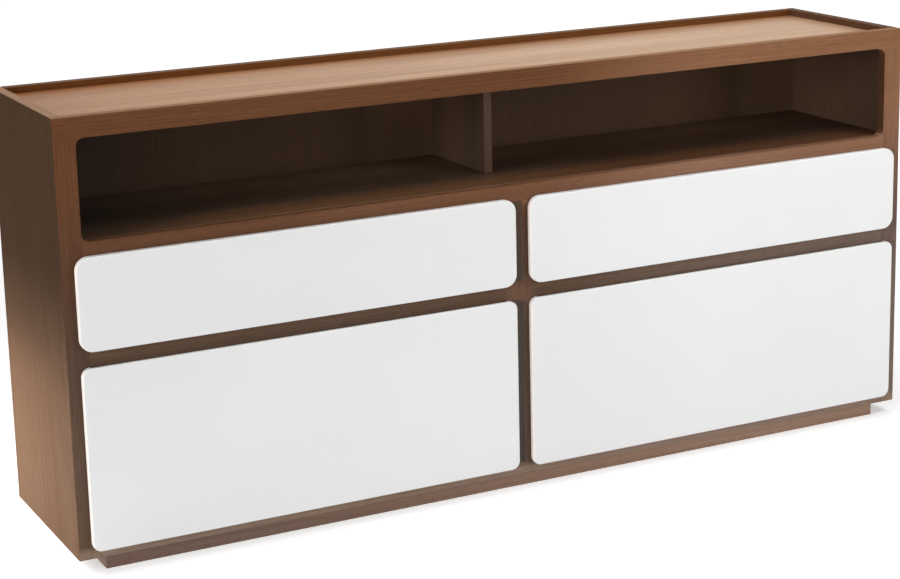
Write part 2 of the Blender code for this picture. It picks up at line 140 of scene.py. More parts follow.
# Surface of the wood
FIBRE_ROUGHNESS = 0.10
PORE_ROUGHNESS = 0.12
FIBRE_HEIGHT = 0.35
LEAST_WEAR = 0.02
VENEER_WEAR = 0.40
FRAME_WEAR = 0.15
RIM_WEAR = 0.08

# Bumps: strength, and depth in metres
VENEER_BUMP = (0.35, 0.0003)
BOARD_BUMP = (0.35, 0.0002)
LACQUER_BUMP = (0.12, 0.00015)
STEEL_BUMP = (0.15, 0.0001)
SILICONE_BUMP = (0.1, 0.00005)

# Sheens: mean roughness and specular level
VENEER_SHEEN = (0.42, 0.2)
FRAME_SHEEN = (0.40, 0.003)
SIDE_SHEEN = (0.46, 0.003)
TRAY_SHEEN = (0.40, 0.05)
REAR_RAIL_SHEEN = (0.42, 0.05)
CUBBY_SHEEN = (0.46, 0.1)
PLINTH_SHEEN = (0.46, 0.25)
FACED_SHEEN = (0.56, 0.3)
BACK_SHEEN = (0.56, 0.1)
BEECH_SHEEN = (0.48, 0.4)
PLYWOOD_SHEEN = (0.5, 0.4)

# Contrasts: how strongly the figure shows, where 1 is full strength
FRAME_CONTRAST = 0.85
SIDE_CONTRAST = 0.8
INNER_CONTRAST = 0.45
UPPER_INNER_CONTRAST = 0.5
TRAY_CONTRAST = 1.3
PLINTH_CONTRAST = 1.1
FACED_CONTRAST = 0.8
BACK_CONTRAST = 0.45
BEECH_CONTRAST = 0.8
PLYWOOD_CONTRAST = 0.7

# Stained walnut
WALNUT_LIGHT = (0.205, 0.084, 0.037)
WALNUT_DARK = (0.100, 0.039, 0.016)
PORE_COLOUR = (0.045, 0.020, 0.011)
WORN_COLOUR = (0.36, 0.20, 0.115)
WARMTH_RANGE = (0.92, 1.08)

# Tones: what the walnut's colour is multiplied by; many are painted light, shade or sheen
PLAIN_TONE = (1.0, 1.0, 1.0)
FRAME_TONE = (1.0, 1.02, 1.08)
STILE_TONE = (0.94, 0.93, 0.95)
# Painted shade and a painted grey reflection of the white fronts: the centre stile darker and bluer
CENTRE_STILE_PAINTED_SHADE_TONE = (0.64, 0.82, 1.05)
CROSSING_TONE = (1.22, 1.05, 1.06)
# Painted sheen: the bottom rail greyer and paler, where the floor's reflection would show
LOW_RAIL_PAINTED_SHEEN_TONE = (1.75, 3.0, 5.2)
# Painted shade: the reveals of the frame's openings darkened
REVEAL_PAINTED_SHADE_TONE = (0.36, 0.33, 0.32)
# Painted shade: the left side panel's outer face and the frame's left end darkened
LEFT_SIDE_PAINTED_SHADE_TONE = (0.29, 0.37, 0.42)
RIGHT_SIDE_TONE = (1.25, 1.45, 1.60)
# Painted light: the side panels' inner faces greyer inside the cubby
INNER_TONE = (0.70, 0.98, 1.42)
# Painted shade: the side panels' inner faces beside the tray darkened
UPPER_INNER_PAINTED_SHADE_TONE = (0.69, 0.79, 0.96)
# Painted light pales the left side panel's upper edge, painted shade darkens the right one's
LEFT_RIM_PAINTED_LIGHT_TONE = (2.1, 3.1, 4.5)
RIGHT_RIM_PAINTED_SHADE_TONE = (0.70, 0.98, 1.45)
# Painted light: the frame's upper edge paler
FRONT_RIM_PAINTED_LIGHT_TONE = (1.60, 2.12, 2.65)
# Painted shade: the rear rail's upper edge darkened
REAR_RIM_PAINTED_SHADE_TONE = (0.42, 0.38, 0.26)
REAR_RAIL_TONE = (1.00, 0.88, 0.58)
# Partly painted light and sheen: the tray paler and greyer than the frame
TRAY_TONE_WITH_PAINTED_SHEEN = (2.18, 2.80, 3.25)
SHELF_TONE = (0.69, 1.11, 1.68)
# Painted light: the divider's faces greyer
DIVIDER_PAINTED_LIGHT_TONE = (0.82, 1.16, 1.70)
DIVIDER_EDGE_TONE = (0.58, 0.80, 1.12)
# Painted sheen: the plinth greyer and paler
PLINTH_PAINTED_SHEEN_TONE = (1.20, 1.76, 3.00)

# Turns: the axis along which a colour turns, where the turn starts and ends, and the tone
# beyond its end. All of these are painted light, shade or sheen.
# Painted light and sheen on the face frame: paler towards the right, greyer towards the floor
FRAME_PAINTED_LIGHT_TURNS = (
    (X, 0.02, 0.42, (1.72, 2.00, 2.30)),
    (Z, 0.70, 0.30, (0.87, 1.33, 1.95)),
)
# Painted shade: the frame's lower right turns a little darker again
LOW_RIGHT_PAINTED_SHADE_TURN = (X, 0.05, 0.40, (0.82, 0.81, 0.83))
# Painted light along the sill: paler from the middle rightwards, a little less so at the right end
SILL_PAINTED_LIGHT_TURNS = (
    (X, -0.55, -0.05, (1.26, 1.26, 1.28)),
    (X, 0.10, 0.50, (0.86, 0.83, 0.82)),
)
# Painted shade and sheen on the outer stiles: darker from mid height down beside the proud fronts,
# paler and greyer again near the floor
STILE_PAINTED_SHADE_AND_SHEEN_TURNS = (
    (Z, 0.68, 0.50, (0.84, 0.80, 0.80)),
    (Z, 0.42, 0.20, (1.27, 1.38, 1.38)),
)
# Painted light: the centre stile turns paler towards its right edge
CENTRE_STILE_PAINTED_LIGHT_TURN = (X, 0.0, 0.013, (2.5, 1.9, 1.55))
# Painted light: the left side panel turns about three times paler towards the floor
LEFT_SIDE_PAINTED_LIGHT_TURN = (Z, 0.54, 0.27, (3.0, 3.25, 3.9))
# Painted light and shade on the inner faces: darker towards the front, paler towards the back
INNER_PAINTED_LIGHT_TURNS = (
    (Y, 0.08, -0.12, (0.58, 0.58, 0.60)),
    (Y, 0.05, 0.15, (1.35, 1.42, 1.50)),
)
# Painted sheen on the tray, paler and greyer towards the right, and painted shade along the foot of
# the rear and right rims
TRAY_PAINTED_LIGHT_TURNS = (
    (X, -1.00, 0.20, (1.20, 1.48, 1.85)),
    (Y, 0.06, 0.165, (0.68, 0.56, 0.46)),
    (Y, 0.140, 0.170, (0.82, 0.66, 0.55)),
    (X, 0.77, 0.83, (0.76, 0.68, 0.62)),
)
# Painted shade: the cubby's shelf and back darker towards the left end
CUBBY_LEFT_PAINTED_SHADE_TURN = (X, -0.42, -0.80, (0.50, 0.60, 0.72))
# Painted light and shade on the shelf: paler at its front edge and towards the back, darker towards
# the right
SHELF_PAINTED_LIGHT_TURNS = (
    (Y, -0.03, -0.145, (1.85, 1.38, 1.02)),
    (Y, -0.05, 0.11, (2.30, 2.35, 2.40)),
    (X, -0.10, 0.30, (0.70, 0.62, 0.60)),
    CUBBY_LEFT_PAINTED_SHADE_TURN,
)
# Painted shade: the divider's faces darker towards the front
DIVIDER_PAINTED_SHADE_TURN = (Y, 0.09, -0.02, (0.48, 0.50, 0.52))
# Painted light: the plinth paler towards the right
PLINTH_PAINTED_LIGHT_TURN = (X, -0.70, 0.40, (1.62, 1.65, 1.52))

# Painted light on the cubby's back, paler at the right end of each bay where shade falls: how far
# before that end the turn starts and ends, and the tone beyond it
BAY_END_FAR = 0.155
BAY_END_NEAR = 0.070
BAY_END_PAINTED_LIGHT_TONE = (2.7, 3.1, 3.6)

# Fades on the face frame: the height where a patch of painted light, shade or sheen starts to show,
# and the height where it shows in full
LOW_RIGHT_FADE = (0.50, 0.44)
SILL_FADE = (0.52, 0.545)
LOW_RAIL_FADE = (0.050, 0.036)

# The patch where the centre stile crosses the middle rails: it fades in by distance from the
# middle line, and out by height above and below the crossing
CROSSING_FADE = (0.036, 0.008)
CROSSING_REACH = (0.012, 0.024)

# White lacquer, with a painted warm reflection of the walnut on the upright edges of the fronts
LACQUER_COLOURS = ((0.80, 0.80, 0.795), (0.84, 0.84, 0.84))
LACQUER_WORN = (0.78, 0.74, 0.69)
WARM_EDGE_PAINTED_REFLECTION_COLOURS = ((0.90, 0.82, 0.76), (0.90, 0.80, 0.73))
LACQUER_TONE_NOISE = (2.2, 3.0, 0.5)
LACQUER_TONE_LIMITS = (0.25, 0.75)
WIPE_NOISE = ((26.0, 26.0, 3.5), 3.0, 0.6)
WIPE_LIMITS = (0.45, 0.75)
PEEL_NOISE = (420.0, 2.0, 0.5)
LACQUER_WEAR = 0.4
LACQUER_ROUGHNESS = (0.27, 0.37)
LACQUER_SPECULAR = 0.45

# Faced boards: the light and dark of their printed faces and of the chips in their cores
BROWN_FACE = ((0.135, 0.080, 0.050), (0.075, 0.042, 0.026))
BROWN_CORE = ((0.42, 0.31, 0.20), (0.22, 0.15, 0.09))
BACK_FACE = ((0.116, 0.061, 0.031), (0.062, 0.032, 0.0165))
BACK_CORE = ((0.24, 0.16, 0.10), (0.14, 0.09, 0.05))
CHIP_SCALE = 420.0
FACED_WEAR = 0.5
FACED_WEAR_LIMITS = (0.4, 0.8)

# Drawer boxes: the light, dark and pores of beech and birch plywood
BEECH_COLOURS = ((0.68, 0.50, 0.32), (0.50, 0.34, 0.20), (0.36, 0.22, 0.12))
BEECH_WEAR = 0.6
FLECK_NOISE = ((170.0, 900.0, 900.0), 1.0, 0.3)
FLECK_LIMITS = (0.62, 0.72)
FLECK_WEIGHT = 0.5
END_GRAIN_WEIGHT = 0.35
BIRCH_COLOURS = ((0.74, 0.60, 0.42), (0.56, 0.42, 0.27), (0.42, 0.29, 0.17))
CROSS_PLY_COLOUR = (0.34, 0.22, 0.12)
CROSS_PLY_WEIGHT = 0.6
PLY_LIMITS = (0.4, 0.6)
PLY_THICKNESS = 0.0013

# Zinc-plated steel
ZINC_COLOURS = ((0.42, 0.43, 0.45), (0.58, 0.59, 0.60))
SPANGLE_COLOUR = (0.53, 0.51, 0.46)
ROLLED_NOISE = ((9.0, 1600.0, 1600.0), 2.0, 0.5)
SPANGLE_NOISE = (60.0, 2.0, 0.5)
SPANGLE_LIMITS = (0.45, 0.7)
SPANGLE_WEIGHT = 0.35
ZINC_ROUGHNESS = 0.24
ROLLED_ROUGHNESS = 0.14
SPANGLE_ROUGHNESS = 0.08

# Clear silicone
SILICONE_COLOURS = ((0.82, 0.83, 0.82), (0.70, 0.70, 0.67))
DUST_NOISE = (900.0, 2.0, 0.6)
SILICONE_ROUGHNESS = (0.22, 0.42)
SILICONE_CLEARNESS = 0.6
SILICONE_IOR = 1.41

# The Mix node has sockets of its own for each kind of data. These are the numbers of the
# factor and the two values, and of the result, for colours and for vectors.
COLOUR_MIX_INPUTS = (0, 6, 7)
COLOUR_MIX_OUTPUT = 2
VECTOR_MIX_INPUTS = (0, 4, 5)
VECTOR_MIX_OUTPUT = 1

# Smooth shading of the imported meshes
WELD_DISTANCE = 0.00001
SMOOTH_ANGLE = math.radians(40)

# Small fittings
FIT_GAP = 0.0003
RUNNER_STEEL = 0.0012
SCREW_RADIUS = 0.0035
SCREW_HEIGHT = 0.0020
CAM_RADIUS = 0.0075
CAM_HEIGHT = 0.0008
BUFFER_RADIUS = 0.004
BUFFER_HEIGHT = 0.0018
SCREW_FROM_END = 0.030
CAM_FROM_FRONT = 0.034
CAM_HEIGHT_SHARES = {"lower": (0.35, 0.80), "upper": (0.62,)}
BUFFER_FROM_CORNER = 0.035
BAY_SCREWS = 3
BAY_SCREW_STEP = 0.25
BAY_SCREW_FROM_SIDE = 0.081
PARTITION_SCREWS = 4
PARTITION_SCREW_STEP = 0.12
PARTITION_SCREW_BELOW_SHELF = 0.0515

# Turned pieces go round in equal steps. A crossed ring follows the outline of a cross recess,
# whose four arms each take these shares of the radius, step by step.
CROSS_SHARES = (0.58, 0.50, 0.25, 0.19, 0.25, 0.50)
TURNED_STEPS = 4 * len(CROSS_SHARES)

# Rings of a turned piece from its foot to its middle: share of its height, share of its
# radius, and whether the ring is crossed
PAN_HEAD_SHARES = ((0.0, 1.0, False), (0.35, 1.0, False), (0.75, 0.88, False),
                   (1.0, 0.66, False), (1.0, 1.0, True), (0.4, 0.8, True))
CAM_HEAD_SHARES = ((0.0, 1.0, False), (0.6, 1.0, False), (1.0, 0.94, False),
                   (1.0, 0.80, True), (0.2, 0.70, True))
BUFFER_DOME_SHARES = ((0.0, 1.0, False), (0.45, 0.98, False), (0.8, 0.84, False),
                      (1.0, 0.5, False))
FITTING_KINDS = {
    "screw": (SCREW_RADIUS, SCREW_HEIGHT, PAN_HEAD_SHARES),
    "cam": (CAM_RADIUS, CAM_HEIGHT, CAM_HEAD_SHARES),
    "buffer": (BUFFER_RADIUS, BUFFER_HEIGHT, BUFFER_DOME_SHARES),
}


class Graph:
    """Short calls that build one node tree."""

    def __init__(self, tree):
        self.tree = tree

    def fill(self, socket, value):
        """Give an input a link, a number, a vector or a colour of three numbers."""
        if isinstance(value, bpy.types.NodeSocket):
            self.tree.links.new(value, socket)
        elif socket.type == "RGBA":
            socket.default_value = (*value, 1.0)
        else:
            socket.default_value = value

    def node(self, kind, inputs=None, **settings):
        """Add a node, set its properties and fill its inputs."""
        made = self.tree.nodes.new(kind)
        for name, value in settings.items():
            setattr(made, name, value)
        for name, value in (inputs or {}).items():
            self.fill(made.inputs[name], value)
        return made

    def math(self, operation, first, second=0.0, third=0.0):
        """The outcome of one operation on numbers."""
        made = self.node("ShaderNodeMath", {0: first, 1: second, 2: third}, operation=operation)
        return made.outputs[0]

    def vector_math(self, operation, first, second=(0.0, 0.0, 0.0)):
        """The outcome of one operation on vectors, which is a number for a length."""
        made = self.node("ShaderNodeVectorMath", {0: first, 1: second}, operation=operation)
        return made.outputs["Value" if operation == "LENGTH" else "Vector"]

    def times(self, first, second):
        """The product of two numbers. For two masks it is 1 where both are 1."""
        return self.math("MULTIPLY", first, second)

    def inverse(self, mask):
        """1 where a mask is 0, and 0 where it is 1."""
        return self.math("SUBTRACT", 1.0, mask)

    def above(self, value, limit):
        """1 where a value is above a limit, 0 elsewhere."""
        return self.math("GREATER_THAN", value, limit)

    def below(self, value, limit):
        """1 where a value is below a limit, 0 elsewhere."""
        return self.math("LESS_THAN", value, limit)

    def split(self, vector):
        """The three numbers of a vector."""
        return self.node("ShaderNodeSeparateXYZ", {"Vector": vector}).outputs

    def join(self, x, y, z):
        """A vector of three numbers."""
        return self.node("ShaderNodeCombineXYZ", {"X": x, "Y": y, "Z": z}).outputs[0]

    def noise(self, vector, scale, detail, roughness):
        """Noise that swings around 0.5."""
        inputs = {"Vector": vector, "Scale": scale, "Detail": detail, "Roughness": roughness}
        return self.node("ShaderNodeTexNoise", inputs).outputs["Fac"]

    def stretched_noise(self, vector, scales, detail, roughness):
        """Noise with its own scale along each axis."""
        return self.noise(self.vector_math("MULTIPLY", vector, scales), 1.0, detail, roughness)

    def smooth(self, value, low, high):
        """0 at low, 1 at high, and an even turn between them."""
        inputs = {"Value": value, "From Min": low, "From Max": high}
        made = self.node("ShaderNodeMapRange", inputs, interpolation_type="SMOOTHSTEP")
        return made.outputs["Result"]

    def spread(self, value, low, high):
        """Carries 0 to 1 over to low to high."""
        return self.math("MULTIPLY_ADD", value, high - low, low)

    def mix(self, factor, first, second, blend="MIX"):
        """The first colour where the factor is 0, and the second blended in where it is 1."""
        inputs = dict(zip(COLOUR_MIX_INPUTS, (factor, first, second)))
        made = self.node("ShaderNodeMix", inputs, data_type="RGBA", blend_type=blend)
        return made.outputs[COLOUR_MIX_OUTPUT]

    def tint(self, factor, colour, tone):
        """A colour where the factor is 0, and that colour times a tone where it is 1."""
        return self.mix(factor, colour, tone, "MULTIPLY")

    def choose(self, mask, first, second):
        """The first vector where the mask is 0, and the second where it is 1."""
        inputs = dict(zip(VECTOR_MIX_INPUTS, (mask, first, second)))
        made = self.node("ShaderNodeMix", inputs, data_type="VECTOR")
        return made.outputs[VECTOR_MIX_OUTPUT]


def new_material(name):
    """A material with only a Principled shader and its output."""
    material = bpy.data.materials.new(name)
    material.use_nodes = True
    graph = Graph(material.node_tree)
    return material, graph, material.node_tree.nodes["Principled BSDF"]


def connect(graph, shader, colour, rough, height, bump):
    """Link a colour, a roughness and a height map to a shader."""
    strength, depth = bump
    inputs = {"Strength": strength, "Distance": depth, "Height": height}
    graph.fill(shader.inputs["Base Color"], colour)
    graph.fill(shader.inputs["Roughness"], rough)
    graph.fill(shader.inputs["Normal"], graph.node("ShaderNodeBump", inputs).outputs[0])


def place(graph):
    """Position on the piece, and a shift from piece to piece so that no two boards match."""
    own = graph.node("ShaderNodeTexCoord").outputs["Object"]
    random = graph.node("ShaderNodeObjectInfo").outputs["Random"]
    return own, graph.times(random, PIECE_SHIFT)


def facing(graph, axis):
    """1 where the surface looks along an axis, 0 elsewhere."""
    normal = graph.split(graph.node("ShaderNodeNewGeometry").outputs["Normal"])
    return graph.above(graph.math("ABSOLUTE", normal[axis]), FACING_LIMIT)


def eased(graph):
    """1 on broken edges and rounded corners, where the surface looks along no axis."""
    normal = graph.node("ShaderNodeNewGeometry").outputs["Normal"]
    sizes = graph.split(graph.vector_math("ABSOLUTE", normal))
    largest = graph.math("MAXIMUM", graph.math("MAXIMUM", sizes[0], sizes[1]), sizes[2])
    return graph.inverse(graph.smooth(largest, *EASED_LIMITS))


def along(graph, own, axis):
    """The position with its first number along the grain, which runs along an axis."""
    parts = graph.split(own)
    order = {X: (X, Y, Z), Y: (Y, Z, X), Z: (Z, X, Y)}[axis]
    return graph.join(*(parts[i] for i in order))


def growth_rings(graph, spot, grain, shift):
    """Straight growth rings of a board cut well away from the pith, 0 to 1."""
    run, across, deep = graph.split(grain)
    wander = graph.stretched_noise(spot, *WANDER_NOISE)
    aside = graph.math("ADD", across, graph.math("MULTIPLY_ADD", run, RING_LEAN, PITH_ASIDE))
    aside = graph.math("MULTIPLY_ADD", wander, RING_WANDER, aside)
    deep = graph.math("ADD", deep, PITH_DEEP)
    radius = graph.math("SQRT", graph.math("ADD", graph.times(aside, aside),
                                           graph.times(deep, deep)))
    phase = graph.math("ADD", graph.math("DIVIDE", radius, RING_SPACING), shift)
    return graph.times(graph.math("PINGPONG", phase, 0.5), 2.0)


def figure(graph, grain, shift):
    """Clouds, fibres, bands, swathes, growth rings and pores of wood, each 0 to 1.

    grain is the position with its first number along the grain.
    """
    offset = graph.join(shift, graph.times(shift, ACROSS_SHIFT_SHARE), 0.0)
    spot = graph.vector_math("ADD", grain, offset)
    marks = {name: graph.stretched_noise(spot, *noise) for name, noise in FIGURE_NOISES.items()}
    marks["rings"] = growth_rings(graph, spot, grain, shift)
    marks["pores"] = graph.smooth(graph.stretched_noise(spot, *PORE_NOISE), *PORE_LIMITS)
    return marks


def banded_figure(graph, own, shift, axis, edge_axis):
    """The figure of a board with its grain along one axis and banded ends along another."""
    grain = graph.choose(facing(graph, axis), along(graph, own, axis),
                         along(graph, own, edge_axis))
    return figure(graph, grain, shift)


def wood_colour(graph, marks, light, dark, pore, contrast):
    """Colour from the marks of figure()."""
    depth = graph.math("MULTIPLY_ADD", marks["rings"], RING_WEIGHT * contrast,
                       (1.0 - RING_WEIGHT * contrast) / 2)
    for name, weight in FIGURE_WEIGHTS.items():
        swing = graph.math("SUBTRACT", marks[name], 0.5)
        depth = graph.math("MULTIPLY_ADD", swing, weight * contrast, depth)
    depth = graph.node("ShaderNodeClamp", {"Value": depth}).outputs[0]
    colour = graph.mix(depth, light, dark)
    return graph.mix(graph.times(marks["pores"], PORE_WEIGHT), colour, pore)


def finish_wood(graph, shader, marks, colour, sheen, bump):
    """Link a wood's colour, and the roughness and fine relief that go with its figure."""
    roughness, specular = sheen
    rough = graph.math("MULTIPLY_ADD", marks["fibres"], FIBRE_ROUGHNESS,
                       roughness - FIBRE_ROUGHNESS / 2)
    rough = graph.math("MULTIPLY_ADD", marks["pores"], PORE_ROUGHNESS, rough)
    height = graph.math("SUBTRACT", graph.times(marks["fibres"], FIBRE_HEIGHT), marks["pores"])
    connect(graph, shader, colour, rough, height, bump)
    shader.inputs["Specular IOR Level"].default_value = specular


def turned_colour(graph, colour, turns):
    """A colour that turns slowly to other tones along the axes of the piece."""
    own = graph.split(graph.node("ShaderNodeTexCoord").outputs["Object"])
    for axis, start, end, tone in turns:
        colour = graph.tint(graph.smooth(own[axis], start, end), colour, tone)
    return colour


def walnut_colour(graph, marks, tone, turns=(), contrast=1.0, wear=VENEER_WEAR):
    """Stained walnut with cloudy warmth, worn edges, and a tone and slow turns that mostly paint in
    light, shade or sheen.
    """
    colour = wood_colour(graph, marks, WALNUT_LIGHT, WALNUT_DARK, PORE_COLOUR, contrast)
    red = graph.spread(marks["clouds"], *WARMTH_RANGE)
    warmth = graph.join(red, 1.0, graph.math("SUBTRACT", 2.0, red))
    colour = graph.tint(1.0, colour, warmth)
    worn = graph.times(eased(graph), graph.spread(marks["fibres"], LEAST_WEAR, wear))
    colour = graph.mix(worn, colour, WORN_COLOUR)
    colour = graph.tint(1.0, colour, tone)
    return turned_colour(graph, colour, turns)


def veneer(name, axis, edge_axis, sheen=VENEER_SHEEN, tone=PLAIN_TONE, turns=(), contrast=1.0):
    """Satin stained veneer, its grain along one axis; ends are banded along edge_axis."""
    material, graph, shader = new_material(name)
    own, shift = place(graph)
    marks = banded_figure(graph, own, shift, axis, edge_axis)
    colour = walnut_colour(graph, marks, tone, turns, contrast)
    finish_wood(graph, shader, marks, colour, sheen, VENEER_BUMP)
    return material


def rim_mask(graph, z):
    """1 on the upper edges of the rim that runs round the top."""
    return graph.times(facing(graph, Z), graph.above(z, CUBBY_HEAD_Z))


def outer_colour(graph, marks, x):
    """The leaf of each outer side: the left one carries painted shade, darker upwards, and painted
    light, paler towards the floor; the right one is even.
    """
    left = walnut_colour(graph, marks, LEFT_SIDE_PAINTED_SHADE_TONE, (LEFT_SIDE_PAINTED_LIGHT_TURN,), SIDE_CONTRAST)
    right = walnut_colour(graph, marks, RIGHT_SIDE_TONE, contrast=SIDE_CONTRAST)
    return graph.mix(graph.above(x, 0.0), left, right)


def inner_colour(graph, marks, z):
    """A side panel's inner face: a greyer tone of painted light in the cubby, darker towards the
    front and paler towards the back, and painted shade beside the tray.
    """
    lower = walnut_colour(graph, marks, INNER_TONE, INNER_PAINTED_LIGHT_TURNS, INNER_CONTRAST)
    upper = walnut_colour(graph, marks, UPPER_INNER_PAINTED_SHADE_TONE, contrast=UPPER_INNER_CONTRAST,
                          wear=RIM_WEAR)
    return graph.mix(graph.above(z, CUBBY_HEAD_Z), lower, upper)


def side_rim_colour(graph, marks, x):
    """The upper edge of each side panel: painted light makes the left one pale, painted shade makes
    the right one darker.
    """
    left = walnut_colour(graph, marks, LEFT_RIM_PAINTED_LIGHT_TONE, contrast=SIDE_CONTRAST)
    right = walnut_colour(graph, marks, RIGHT_RIM_PAINTED_SHADE_TONE, contrast=SIDE_CONTRAST, wear=RIM_WEAR)
    return graph.mix(graph.above(x, 0.0), left, right)


def side_veneer():
    """A side panel: upright veneer outside and a greyer inner face, both with painted light and
    shade.
    """
    material, graph, shader = new_material("walnut_side")
    own, shift = place(graph)
    marks = banded_figure(graph, own, shift, Z, Y)
    x, _, z = graph.split(own)
    inside = graph.below(graph.math("ABSOLUTE", x), SIDE_MIDDLE_X)
    colour = graph.mix(inside, outer_colour(graph, marks, x), inner_colour(graph, marks, z))
    # Painted light and shade on the side panels' upper edges
    colour = graph.mix(rim_mask(graph, z), colour, side_rim_colour(graph, marks, x))
    finish_wood(graph, shader, marks, colour, SIDE_SHEEN, VENEER_BUMP)
    return material


def rear_rail_veneer():
    """The rail behind the tray: painted shade makes its upper edge darker than its faces."""
    material, graph, shader = new_material("walnut_rear_rail")
    own, shift = place(graph)
    marks = banded_figure(graph, own, shift, X, Y)
    faces = walnut_colour(graph, marks, REAR_RAIL_TONE, wear=RIM_WEAR)
    # Painted shade darkens the upper edge
    edge = walnut_colour(graph, marks, REAR_RIM_PAINTED_SHADE_TONE, contrast=SIDE_CONTRAST, wear=RIM_WEAR)
    colour = graph.mix(facing(graph, Z), faces, edge)
    finish_wood(graph, shader, marks, colour, REAR_RAIL_SHEEN, VENEER_BUMP)
    return material


def divider_veneer():
    """The cubby divider: its faces greyer than its front edge with painted light, and darker towards
    the front with painted shade.
    """
    material, graph, shader = new_material("walnut_divider")
    own, shift = place(graph)
    marks = banded_figure(graph, own, shift, Z, Y)
    edge = walnut_colour(graph, marks, DIVIDER_EDGE_TONE, contrast=SIDE_CONTRAST)
    # Painted light and shade on the divider's faces
    faces = walnut_colour(graph, marks, DIVIDER_PAINTED_LIGHT_TONE, (DIVIDER_PAINTED_SHADE_TURN,), INNER_CONTRAST)
    colour = graph.mix(facing(graph, X), edge, faces)
    finish_wood(graph, shader, marks, colour, CUBBY_SHEEN, VENEER_BUMP)
    return material


def stile_masks(graph, distance, z):
    """1 on the face frame's outer stiles, and 1 on its centre stile."""
    outer = graph.times(graph.above(distance, STILE_INNER_X), graph.below(z, CUBBY_HEAD_Z))
    between = graph.times(graph.above(z, CENTRE_STILE_LOW), graph.below(z, CENTRE_STILE_HIGH))
    centre = graph.times(graph.below(distance, PARTITION_HIGH.x), between)
    return outer, centre


def frame_figure(graph, own, shift, upright):
    """The frame's figure: upright where the mask is 1, level elsewhere and on level faces."""
    upright = graph.times(upright, graph.inverse(facing(graph, Z)))
    raised = graph.vector_math("ADD", along(graph, own, Z), STILE_SHIFT)
    return figure(graph, graph.choose(upright, along(graph, own, X), raised), shift)


def rail_colour(graph, marks, z):
    """The frame's leaf with painted light and sheen: paler to the right and greyer downwards, with
    painted shade at the lower right and painted light along the sill.
    """
    colour = walnut_colour(graph, marks, FRAME_TONE, FRAME_PAINTED_LIGHT_TURNS, FRAME_CONTRAST, FRAME_WEAR)
    low_right_shaded = turned_colour(graph, colour, (LOW_RIGHT_PAINTED_SHADE_TURN,))
    colour = graph.mix(graph.smooth(z, *LOW_RIGHT_FADE), colour, low_right_shaded)
    sill = graph.times(graph.smooth(z, *SILL_FADE), graph.below(z, CUBBY_MIDDLE_Z))
    return graph.mix(sill, colour, turned_colour(graph, colour, SILL_PAINTED_LIGHT_TURNS))


def stile_colour(graph, colour, outer, centre, distance, z):
    """A colour with painted shade and sheen on the stiles, and a warm patch where the centre one
    crosses.
    """
    standing = turned_colour(graph, graph.tint(1.0, colour, STILE_TONE), STILE_PAINTED_SHADE_AND_SHEEN_TURNS)
    colour = graph.mix(outer, colour, standing)
    height = graph.math("ABSOLUTE", graph.math("SUBTRACT", z, CROSSING_Z))
    off_crossing = graph.smooth(height, *CROSSING_REACH)
    crossing = graph.times(graph.inverse(off_crossing), graph.smooth(distance, *CROSSING_FADE))
    colour = graph.tint(crossing, colour, CROSSING_TONE)
    # Painted shade and reflection darken the centre stile, less towards its right edge
    middle = turned_colour(graph, graph.tint(1.0, colour, CENTRE_STILE_PAINTED_SHADE_TONE),
                           (CENTRE_STILE_PAINTED_LIGHT_TURN,))
    return graph.mix(graph.times(centre, off_crossing), colour, middle)


def joint_lines(graph, distance, z):
    """1 on the fine lines along the inner edge and across the head of each outer stile."""
    gap_to_stile = graph.math("ABSOLUTE", graph.math("SUBTRACT", distance, STILE_INNER_X))
    side_line = graph.times(graph.below(gap_to_stile, JOINT_LINE_WIDTH),
                            graph.below(z, CUBBY_HEAD_Z))
    gap_to_rail = graph.math("ABSOLUTE", graph.math("SUBTRACT", z, CUBBY_HEAD_Z))
    top_line = graph.times(graph.below(gap_to_rail, JOINT_LINE_WIDTH),
                           graph.above(distance, STILE_INNER_X))
    return graph.math("MAXIMUM", side_line, top_line)


def frame_veneer():
    """The face frame: upright grain on its stiles, level grain on its rails."""
    material, graph, shader = new_material("walnut_face_frame")
    own, shift = place(graph)
    x, _, z = graph.split(own)
    distance = graph.math("ABSOLUTE", x)
    outer, centre = stile_masks(graph, distance, z)
    end = graph.times(facing(graph, X), graph.above(distance, FRAME_HIGH.x - FRAME_EDGE))
    upright = graph.math("MAXIMUM", end, graph.math("MAXIMUM", outer, centre))
    marks = frame_figure(graph, own, shift, upright)
    colour = stile_colour(graph, rail_colour(graph, marks, z), outer, centre, distance, z)
    # Painted sheen of the floor's reflection on the bottom rail
    floor_sheen_rail = walnut_colour(graph, marks, LOW_RAIL_PAINTED_SHEEN_TONE, contrast=FRAME_CONTRAST)
    colour = graph.mix(graph.smooth(z, *LOW_RAIL_FADE), colour, floor_sheen_rail)
    lines = graph.times(joint_lines(graph, distance, z), JOINT_LINE_WEIGHT)
    colour = graph.mix(lines, colour, PORE_COLOUR)
    # Painted shade darkens the reveals of the frame's openings
    reveal = graph.times(facing(graph, X), graph.below(distance, FRAME_HIGH.x - REVEAL_FROM_END))
    colour = graph.tint(reveal, colour, REVEAL_PAINTED_SHADE_TONE)
    # The frame's ends take the side panels' leaf, with its painted shade
    colour = graph.mix(end, colour, outer_colour(graph, marks, x))
    # Painted light makes the frame's upper edge paler
    rim = walnut_colour(graph, marks, FRONT_RIM_PAINTED_LIGHT_TONE, contrast=FRAME_CONTRAST)
    colour = graph.mix(rim_mask(graph, z), colour, rim)
    finish_wood(graph, shader, marks, colour, FRAME_SHEEN, VENEER_BUMP)
    return material


